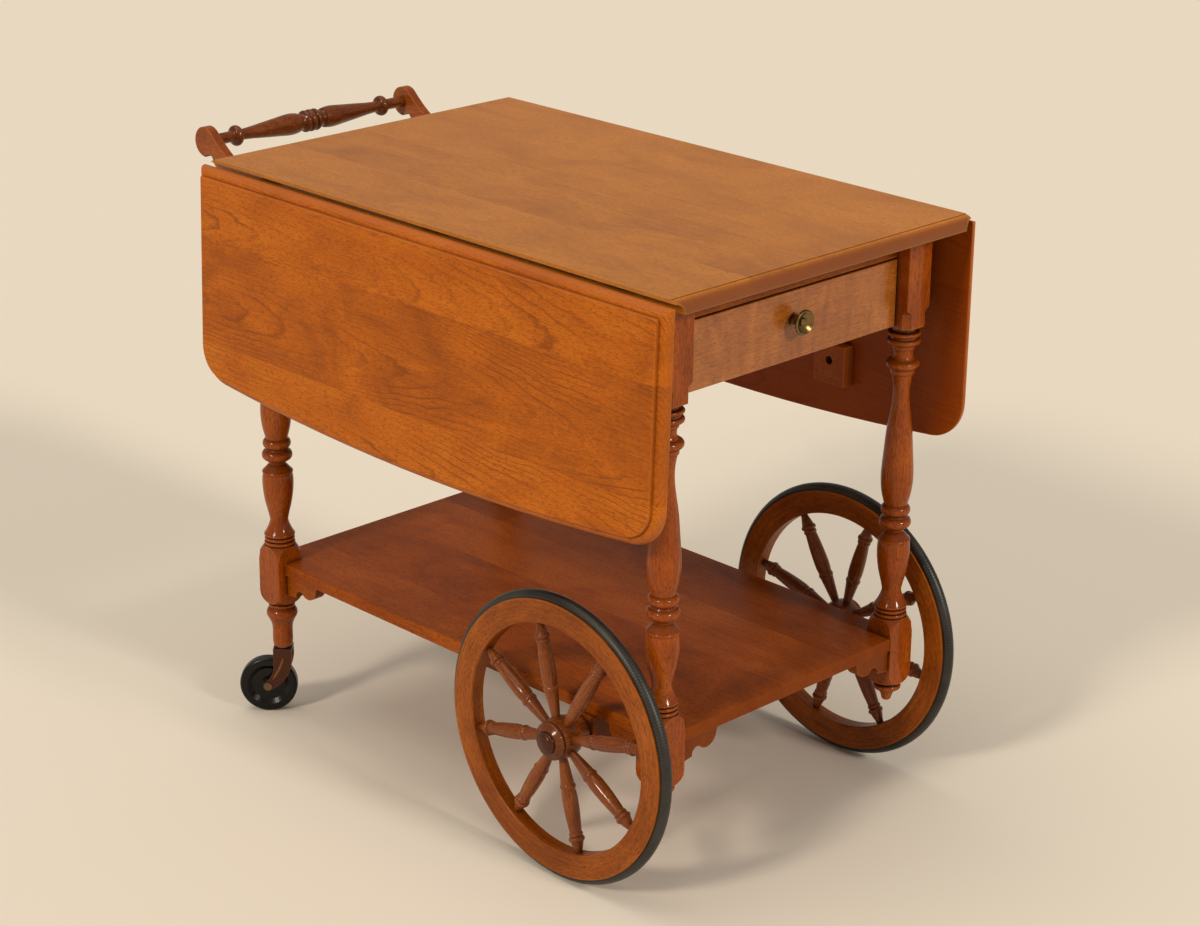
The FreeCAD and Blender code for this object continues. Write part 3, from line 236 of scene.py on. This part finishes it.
# The top's colours are yellower and less saturated than the leaves': painted sheen of the lacquer over the same
# stain.
top_maple_with_painted_sheen = stained_maple("stained maple top with painted sheen", straight_grain(X, Y, Z), "#c07927", "#ad6919", "#864a0f",
                          joints=TOP_JOINTS, tones=(0.05, -0.05, 0.02, 0.08), streak=0.55, figure=0.3,
                          piths=(-190 * MM, -60 * MM, 50 * MM, 180 * MM), depth=-660 * MM, tilt=0.015,
                          crevice=0.2, wear=0.3, soak_and_shade=0.85, soak_and_shade_colour="#733a18", specular=0.3)
leaf_maple = stained_maple("stained maple leaf", leaf_grain, "#ce781a", "#b55e0e", "#7b3b0a",
                           joints=LEAF_JOINTS, tones=(0.06, -0.07, 0.01), figure=0.85, cloud=0.85,
                           piths=(470 * MM, 590 * MM, 690 * MM), depth=330 * MM, tilt=0.06, streak=0.4,
                           crevice=0.6, soak_and_shade=0.6, soak_and_shade_colour="#a05a30")
far_leaf_maple = stained_maple("stained maple far leaf", leaf_grain, "#cf781a", "#b75d0e", "#7d3d0a",
                               joints=LEAF_JOINTS, tones=(0.05, -0.08, 0.02), figure=0.8, cloud=0.85,
                               piths=(480 * MM, 570 * MM, 700 * MM), depth=-190 * MM, tilt=0.05, streak=0.4,
                               crevice=0.6, soak_and_shade=0.6, soak_and_shade_colour="#a05a30",
                               bare_and_shaded_face=(*FAR_LEAF_INNER, "#82350b"))
dress(top_maple_with_painted_sheen, "top_board")
dress(leaf_maple, "leaf_near")
dress(far_leaf_maple, "leaf_far")

# Legs: maple turnings with square blocks left at the top and at the shelf. Dark stain has gathered in the
# turned grooves and painted shade darkens them further, and the beads have worn paler.
leg_maple = stained_maple("stained maple leg", straight_grain(Z, X, Y), "#bb6519", "#954509", "#582405",
                          tilt=0.02, figure=0.2, cloud=0.8, crevice=0.95, wear=0.4, rough=0.34, specular=0.05,
                          coat=0.4)
dress(leg_maple, "leg_front_near", "leg_front_far", "leg_rear_near", "leg_rear_far")

# Frame round the drawer: aprons tenoned into the legs and a rail over the drawer, in the same maple. The
# inner cleats, runners and supports are plain hardwood with a thin seal.
apron_maple = stained_maple("stained maple apron", straight_grain(X, Z, Y), "#b0601a", "#8f450c", "#562406",
                            crevice=0.6, wear=0.35)
end_maple = stained_maple("stained maple end rail", straight_grain(Y, Z, X), "#b0642a", "#944d1a", "#5f2a0b",
                          crevice=0.6, wear=0.3)
plain_hardwood = stained_maple("sealed hardwood", straight_grain(X, Y, Z), "#a86f3a", "#8a5529", "#5c3314",
                               figure=0.5, rough=0.5)
dress(apron_maple, "side_apron_near", "side_apron_far")
dress(end_maple, "end_apron", "drawer_rail")
dress(plain_hardwood, "drawer_runners", "top_cleats", "support_cleats", "support_arm_near", "support_arm_far")

# Drawer and metal fittings: a figured maple front on a plain box of thin boards, with a turned brass knob held
# by a screw from inside. The knob's lacquer has worn thin, so the brass has gone brown in the hollows. The
# screws, sockets and axle are zinc-plated steel, and the leaf hinges are plated brown.
drawer_maple = stained_maple("figured maple drawer front", straight_grain(Y, Z, X), "#ba722c", "#9d591c",
                             "#713912", tilt=0.02, figure=0.3, curl=0.7, crevice=0.5, rough=0.22,
                             specular=0.6)
panel_wood = stained_maple("drawer bottom panel", straight_grain(Y, X, Z), "#c79a66", "#b07f4c", "#84582f",
                           rough=0.6)
block_maple = stained_maple("stained maple leaf block", straight_grain(X, Z, Y), "#b86424", "#9c4d18",
                            "#66300d", crevice=0.6, wear=0.4)
dress(drawer_maple, "drawer_front")
dress(plain_hardwood, "drawer_side_near", "drawer_side_far", "drawer_back")
dress(block_maple, "leaf_block_near", "leaf_block_far")
dress(panel_wood, "drawer_bottom")

METAL_GRIT = 2.5 * MM     # size of the blotches that handling leaves
METAL_RELIEF = 0.2 * MM   # and their depth
METAL_BUMP = 0.08
TARNISH_REACH, TARNISH_EDGE = 8 * MM, (0.3, 0.9)
RUB_REACH, RUB_EDGE = 0.8 * MM, (0.4, 0.85)
BLOTCH_SHARE = 0.35
POLISH_EDGE, POLISH_LOST = (0.0, 0.8), 0.25


def aged_metal(name, bright, dull, rough, metallic=1.0, crevice=0.6, wear=0.4, worn_and_highlight="#d8b98a"):
    """Handled metal: polish in the open, tarnish in the hollows, rubbed edges and fine uneven wear. On the
    bronze paint the pale edge colour is also a painted highlight along the bends.
    """
    material, tree, shader = new_material(name)
    place = add(tree, "ShaderNodeTexCoord", out="Object")
    mottle = add(tree, "ShaderNodeTexNoise", {"Vector": place, "Scale": 1 / METAL_GRIT, "Detail": 4.0})
    open_air = add(tree, "ShaderNodeAmbientOcclusion", {"Distance": TARNISH_REACH}, out="AO",
                   samples=SHADE_SAMPLES)
    hollow_darkening = add(tree, "ShaderNodeMapRange", [open_air, *TARNISH_EDGE, crevice, 0.0])
    tarnish = add(tree, "ShaderNodeMath", [mottle, BLOTCH_SHARE, hollow_darkening], operation="MULTIPLY_ADD",
                  use_clamp=True)
    arris = add(tree, "ShaderNodeAmbientOcclusion", {"Distance": RUB_REACH}, out="AO",
                samples=SHADE_SAMPLES, inside=True)
    rubbed = add(tree, "ShaderNodeMapRange", [arris, *RUB_EDGE, wear, 0.0])
    body = linear(bright)
    for share, colour in ((tarnish, dull), (rubbed, worn_and_highlight)):
        body = add(tree, "ShaderNodeMix", {MIX_SHARE: share, MIX_FROM: body, MIX_TO: linear(colour)},
                   out=MIX_RESULT, data_type="RGBA")
    polish = add(tree, "ShaderNodeMapRange", [tarnish, *POLISH_EDGE, rough, rough + POLISH_LOST])
    bump = add(tree, "ShaderNodeBump", {"Height": mottle, "Strength": METAL_BUMP, "Distance": METAL_RELIEF})
    feed(tree, shader, {"Base Color": body, "Roughness": polish, "Metallic": metallic, "Normal": bump})
    return material


brass = aged_metal("lacquered brass", "#8a7045", "#241a0c", 0.2, crevice=0.85, wear=0.25)
zinc_steel = aged_metal("zinc-plated steel", "#b9b6b0", "#6e6a64", 0.35, worn_and_highlight="#d4d2ce")
hinge_steel = aged_metal("brown-plated hinge steel", "#7d6652", "#3a2b20", 0.4)
dress(brass, "drawer_knob")
dress(zinc_steel, "knob_screw", "frame_screws", "leaf_hinge_screws_near", "leaf_hinge_screws_far",
      "support_pivots", "axle", "axle_washers", "caster_sockets", "caster_stem_near", "caster_stem_far")
dress(hinge_steel, "hinge_top_flaps", "hinge_pins", "leaf_hinge_flaps_near", "leaf_hinge_flaps_far")

# Shelf: boards glued to one width, notched round the legs, with sawn scroll brackets in its corners. The
# bolster under it carries the axle.
shelf_maple = stained_maple("stained maple shelf", straight_grain(X, Y, Z), "#b05c17", "#91440a", "#632906",
                            joints=TOP_JOINTS, tones=(0.05, -0.06, 0.06, -0.02), crevice=0.5,
                            piths=(-170 * MM, -70 * MM, 40 * MM, 150 * MM), depth=-150 * MM, tilt=0.015,
                            specular=0.08)
dress(shelf_maple, "shelf_board")
dress(apron_maple, "shelf_brackets", "axle_bolster")

# Handle: two sawn maple crooks screwed to the end apron, with a turned bar between them. Hands have darkened
# the bar and left its beads shiny.
crook_maple = stained_maple("stained maple crook", straight_grain(X, Z, Y), "#b4601f", "#90450f", "#582608",
                            crevice=0.7, wear=0.5, rough=0.33, coat=0.25)
bar_maple = stained_maple("stained maple bar", straight_grain(Y, X, Z), "#8a4a1c", "#6a320d", "#3a1805",
                          figure=0.2, crevice=0.85, wear=0.4, rough=0.3, coat=0.35)
dress(crook_maple, "handle_arm_near", "handle_arm_far")
dress(bar_maple, "handle_bar")

# Spoked wheels: a turned hub, eight turned spokes tenoned between hub and bent rim, and a solid rubber tyre
# glued in place. A pressed metal cap closes the hub over the axle's end.
RIM_MIDDLE = 155 * MM


def middle(node_name):
    """The middle of a CAD node's box."""
    low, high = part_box(node_name)
    return (Vector(low) + Vector(high)) / 2


wheel_centre = middle("wheel_tyre_near")  # the far wheel turns on the same axle


def wheel_grain(radial):
    """Grain that follows the spokes outwards, or that runs round the bent rim."""
    def read(tree):
        place = add(tree, "ShaderNodeTexCoord", out="Object")
        axes = add(tree, "ShaderNodeSeparateXYZ", [place], out=None)
        x = add(tree, "ShaderNodeMath", [axes[X], wheel_centre.x], operation="SUBTRACT")
        z = add(tree, "ShaderNodeMath", [axes[Z], wheel_centre.z], operation="SUBTRACT")
        flat = add(tree, "ShaderNodeCombineXYZ", [x, z])
        radius = add(tree, "ShaderNodeVectorMath", [flat], out="Value", operation="LENGTH")
        angle = add(tree, "ShaderNodeMath", [z, x], operation="ARCTAN2")
        girth = add(tree, "ShaderNodeMath", [angle, RIM_MIDDLE], operation="MULTIPLY")
        along, across = (radius, girth) if radial else (girth, radius)
        return along, across, axes[Y], None
    return read


spoke_maple = stained_maple("stained maple spoke", wheel_grain(True), "#a25a26", "#7c3e14", "#451d06",
                            figure=0.2, crevice=0.95, wear=0.4, rough=0.3, coat=0.35)
rim_maple = stained_maple("stained maple rim", wheel_grain(False), "#b3641d", "#8f480e", "#5a2907",
                          figure=0.3, cloud=1.1, streak=0.6, crevice=0.5, wear=0.45, coat=0.08)
hub_maple = stained_maple("stained maple hub", straight_grain(Y, X, Z), "#96521f", "#723810", "#411b05",
                          figure=0.2, crevice=0.95, wear=0.45, rough=0.3, coat=0.35)

TYRE_RIBS = 3.2 * MM      # spacing of the fine ribs across the tread
TREAD_SKIN, TREAD_DUST = 0.6, 0.14
DUST_PATCH = 45.45 * MM   # width of the dusty patches
DUST_EDGE, DUST_LEAST, DUST_MOST = (0.4, 0.75), 0.1, 0.7
SCUFF_EDGE, SCUFF = (0.3, 0.7), 0.15
RUBBER_IOR, RUBBER_BUMP, RUBBER_RELIEF = 1.52, 0.2, 0.3 * MM


def black_rubber(name, body, dust, grit, rough, specular, ribs=0.0):
    """Moulded rubber: near black, greyed by dust, with a faint grain. A tyre has fine ribs across its tread."""
    material, tree, shader = new_material(name)
    place = add(tree, "ShaderNodeTexCoord", out="Object")
    skin = add(tree, "ShaderNodeTexNoise", {"Vector": place, "Scale": 1 / grit, "Detail": 3.0})
    broad = add(tree, "ShaderNodeTexNoise", {"Vector": place, "Scale": 1 / DUST_PATCH, "Detail": 3.0})
    dusty = add(tree, "ShaderNodeMapRange", [broad, *DUST_EDGE, DUST_LEAST, DUST_MOST])
    if ribs:
        girth = wheel_grain(False)(tree)[0]
        phase = add(tree, "ShaderNodeMath", [girth, math.tau / ribs], operation="MULTIPLY")
        rib = add(tree, "ShaderNodeMath", [phase], operation="SINE")
        skin = add(tree, "ShaderNodeMath", [rib, TREAD_SKIN, skin], operation="MULTIPLY_ADD")
        dusty = add(tree, "ShaderNodeMath", [rib, TREAD_DUST, dusty], operation="MULTIPLY_ADD", use_clamp=True)
    colour = add(tree, "ShaderNodeMix", {MIX_SHARE: dusty, MIX_FROM: linear(body), MIX_TO: linear(dust)},
                 out=MIX_RESULT, data_type="RGBA")
    polish = add(tree, "ShaderNodeMapRange", [broad, *SCUFF_EDGE, rough, rough + SCUFF])
    bump = add(tree, "ShaderNodeBump", {"Height": skin, "Strength": RUBBER_BUMP, "Distance": RUBBER_RELIEF})
    feed(tree, shader, {"Base Color": colour, "Roughness": polish, "Normal": bump, "IOR": RUBBER_IOR,
                        "Specular IOR Level": specular})
    return material


tyre_rubber = black_rubber("solid tyre rubber", "#0d0c0a", "#3a362f", grit=1.2 * MM, rough=0.34, specular=0.4,
                           ribs=TYRE_RIBS)
# Its pale edge colour paints the highlight along the fork's bends, as well as the worn edges.
bronze_paint = aged_metal("bronze-painted steel", "#4c230c", "#1d0e06", 0.22, metallic=0.5, worn_and_highlight="#c08048")
for side in ("near", "far"):
    dress(spoke_maple, "wheel_spokes_" + side)
    dress(rim_maple, "wheel_rim_" + side)
    dress(hub_maple, "wheel_hub_" + side)
    dress(tyre_rubber, "wheel_tyre_" + side)
    dress(bronze_paint, "wheel_cap_" + side)

# Casters: a pressed steel fork in bronze paint, riveted over a moulded rubber wheel, on a stem that turns in
# a sleeve in the leg. A rib is pressed out of each cheek of the fork.
RIB_PATH = ((1.0, 78.0), (-1.5, 68.0), (-6.5, 57.5), (-14.0, 47.0))  # mm behind the stem and above the floor
RIB_WIDTH, RIB_HEIGHT = 2.6 * MM, 0.8 * MM
RIB_SINK = 0.2 * MM       # how far a rib is rooted in its cheek
RIB_FADE = 0.25           # share of its size that a rib gains with each step from its end
RIB_STEPS, RIB_SIDES = 14, 8
FORK_CHEEK = 12.25 * MM   # from the fork's middle to the outside of a cheek
FORK_TURN = math.radians(45)

caster_rubber = black_rubber("moulded caster rubber", "#060606", "#110f0e", grit=1.0 * MM, rough=0.2,
                             specular=0.25)
for side in ("near", "far"):
    dress(caster_rubber, "caster_wheel_" + side)
    dress(bronze_paint, "caster_fork_" + side)
    dress(hinge_steel, "caster_axle_" + side)


def pressed_rib(name, swivel, cheek):
    """A rib pressed out of a fork's cheek: a half-round ridge that fades out at both ends."""
    back = Vector((math.cos(FORK_TURN), math.sin(FORK_TURN), 0))
    outward = Vector((-back.y, back.x, 0)) * math.copysign(1, cheek)
    path = interpolate_bezier(*(Vector((x, 0, z)) * MM for x, z in RIB_PATH), RIB_STEPS)
    mesh = bmesh.new()
    rings = []
    for i, point in enumerate(path):
        ahead = (path[min(i + 1, RIB_STEPS - 1)] - path[max(i - 1, 0)]).normalized()
        sideways = Vector((-ahead.z, 0, ahead.x))
        full = min(1.0, RIB_FADE * (1 + min(i, RIB_STEPS - 1 - i)))
        ring = []
        for k in range(RIB_SIDES):
            a = math.pi * k / (RIB_SIDES - 1)
            flat = point + sideways * (math.cos(a) * RIB_WIDTH / 2 * full)
            lift = abs(cheek) + (math.sin(a) * RIB_HEIGHT - RIB_SINK) * full
            ring.append(mesh.verts.new(swivel + back * flat.x + Vector((0, 0, flat.z)) + outward * lift))
        rings.append(ring)
    for ring, after in zip(rings, rings[1:]):
        for k in range(RIB_SIDES):
            n = (k + 1) % RIB_SIDES
            mesh.faces.new((ring[k], ring[n], after[n], after[k]))
    mesh.faces.new(rings[0])
    mesh.faces.new(rings[-1])
    bmesh.ops.recalc_face_normals(mesh, faces=mesh.faces)
    data = bpy.data.meshes.new(name)
    mesh.to_mesh(data)
    mesh.free()
    data.shade_smooth()
    data.materials.append(bronze_paint)
    piece = bpy.data.objects.new(name, data)
    bpy.context.scene.collection.objects.link(piece)
    return piece


for side in ("near", "far"):
    swivel = middle("caster_stem_" + side)
    swivel.z = 0
    for number, cheek in enumerate((-FORK_CHEEK, FORK_CHEEK)):
        rib = pressed_rib("caster_fork_rib_%s_%d" % (side, number), swivel, cheek)
        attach(rib, "caster_swivel_" + side)

# Room: a plain pale matt floor that runs out to a pale surround. Three wide, distant lights keep the floor even
# from every side.
FLOOR_SIZE = 400.0
SURROUND_STRENGTH = 0.45
TROLLEY_MIDDLE = Vector((0, 0, 0.4))
room, room_tree, room_shader = new_material("matt pale floor")
feed(room_tree, room_shader, {"Base Color": linear("#d9d2c6"), "Roughness": 0.85})
bpy.ops.mesh.primitive_plane_add(size=FLOOR_SIZE)
floor = bpy.context.object
floor.name = "floor"
floor.data.materials.append(room)

world = bpy.data.worlds.new("pale surround")
bpy.context.scene.world = world
world.use_nodes = True
feed(world.node_tree, world.node_tree.nodes["Background"],
     {"Color": linear("#efe9df"), "Strength": SURROUND_STRENGTH})


def soft_light(name, place, spread, strength, tint):
    """A wide even light from afar that comes from the side of a place and looks at the trolley's middle."""
    light = bpy.data.lights.new(name, "SUN")
    light.angle = math.radians(spread)
    light.energy = strength
    light.color = linear(tint)[:3]
    holder = bpy.data.objects.new(name, light)
    bpy.context.scene.collection.objects.link(holder)
    holder.location = place
    holder.rotation_euler = (TROLLEY_MIDDLE - Vector(place)).to_track_quat("-Z", "Y").to_euler()


soft_light("overhead light", place=(-0.9, -0.8, 5.0), spread=45, strength=0.95, tint="#fff4e4")
soft_light("front light", place=(0.4, -8.0, 5.8), spread=10, strength=1.47, tint="#fff1de")
soft_light("end light", place=(8.5, 0.4, 5.2), spread=10, strength=1.5, tint="#fff3e4")

# Camera at the photograph's viewing angle, worked out from the trolley's own straight edges, legs and wheels.
# Angles are in radians and the place is in metres.
IMAGE_WIDTH = 1200
FOCAL_PIXELS = 2847.471
SENSOR_WIDTH = 36.0
VIEW_DEPTH = 100.0
YAW, PITCH, ROLL = 0.79083, 0.3608, 0.01037
CAMERA_PLACE = (2.41712, -2.2916, 1.62862)
camera_data = bpy.data.cameras.new("camera")
camera_data.sensor_fit = "HORIZONTAL"
camera_data.sensor_width = SENSOR_WIDTH
camera_data.lens = SENSOR_WIDTH * FOCAL_PIXELS / IMAGE_WIDTH
camera_data.clip_end = VIEW_DEPTH
camera = bpy.data.objects.new("camera", camera_data)
bpy.context.scene.collection.objects.link(camera)
forward = Vector((-math.sin(YAW) * math.cos(PITCH), math.cos(YAW) * math.cos(PITCH), -math.sin(PITCH)))
level = Vector((math.cos(YAW), math.sin(YAW), 0))
upward = level.cross(forward)
right = math.cos(ROLL) * level + math.sin(ROLL) * upward
up = -math.sin(ROLL) * level + math.cos(ROLL) * upward
turn = Matrix((right, up, -forward)).transposed().to_4x4()
camera.matrix_world = Matrix.Translation(CAMERA_PLACE) @ turn
bpy.context.scene.camera = camera
bpy.context.scene.view_settings.view_transform = "Standard"
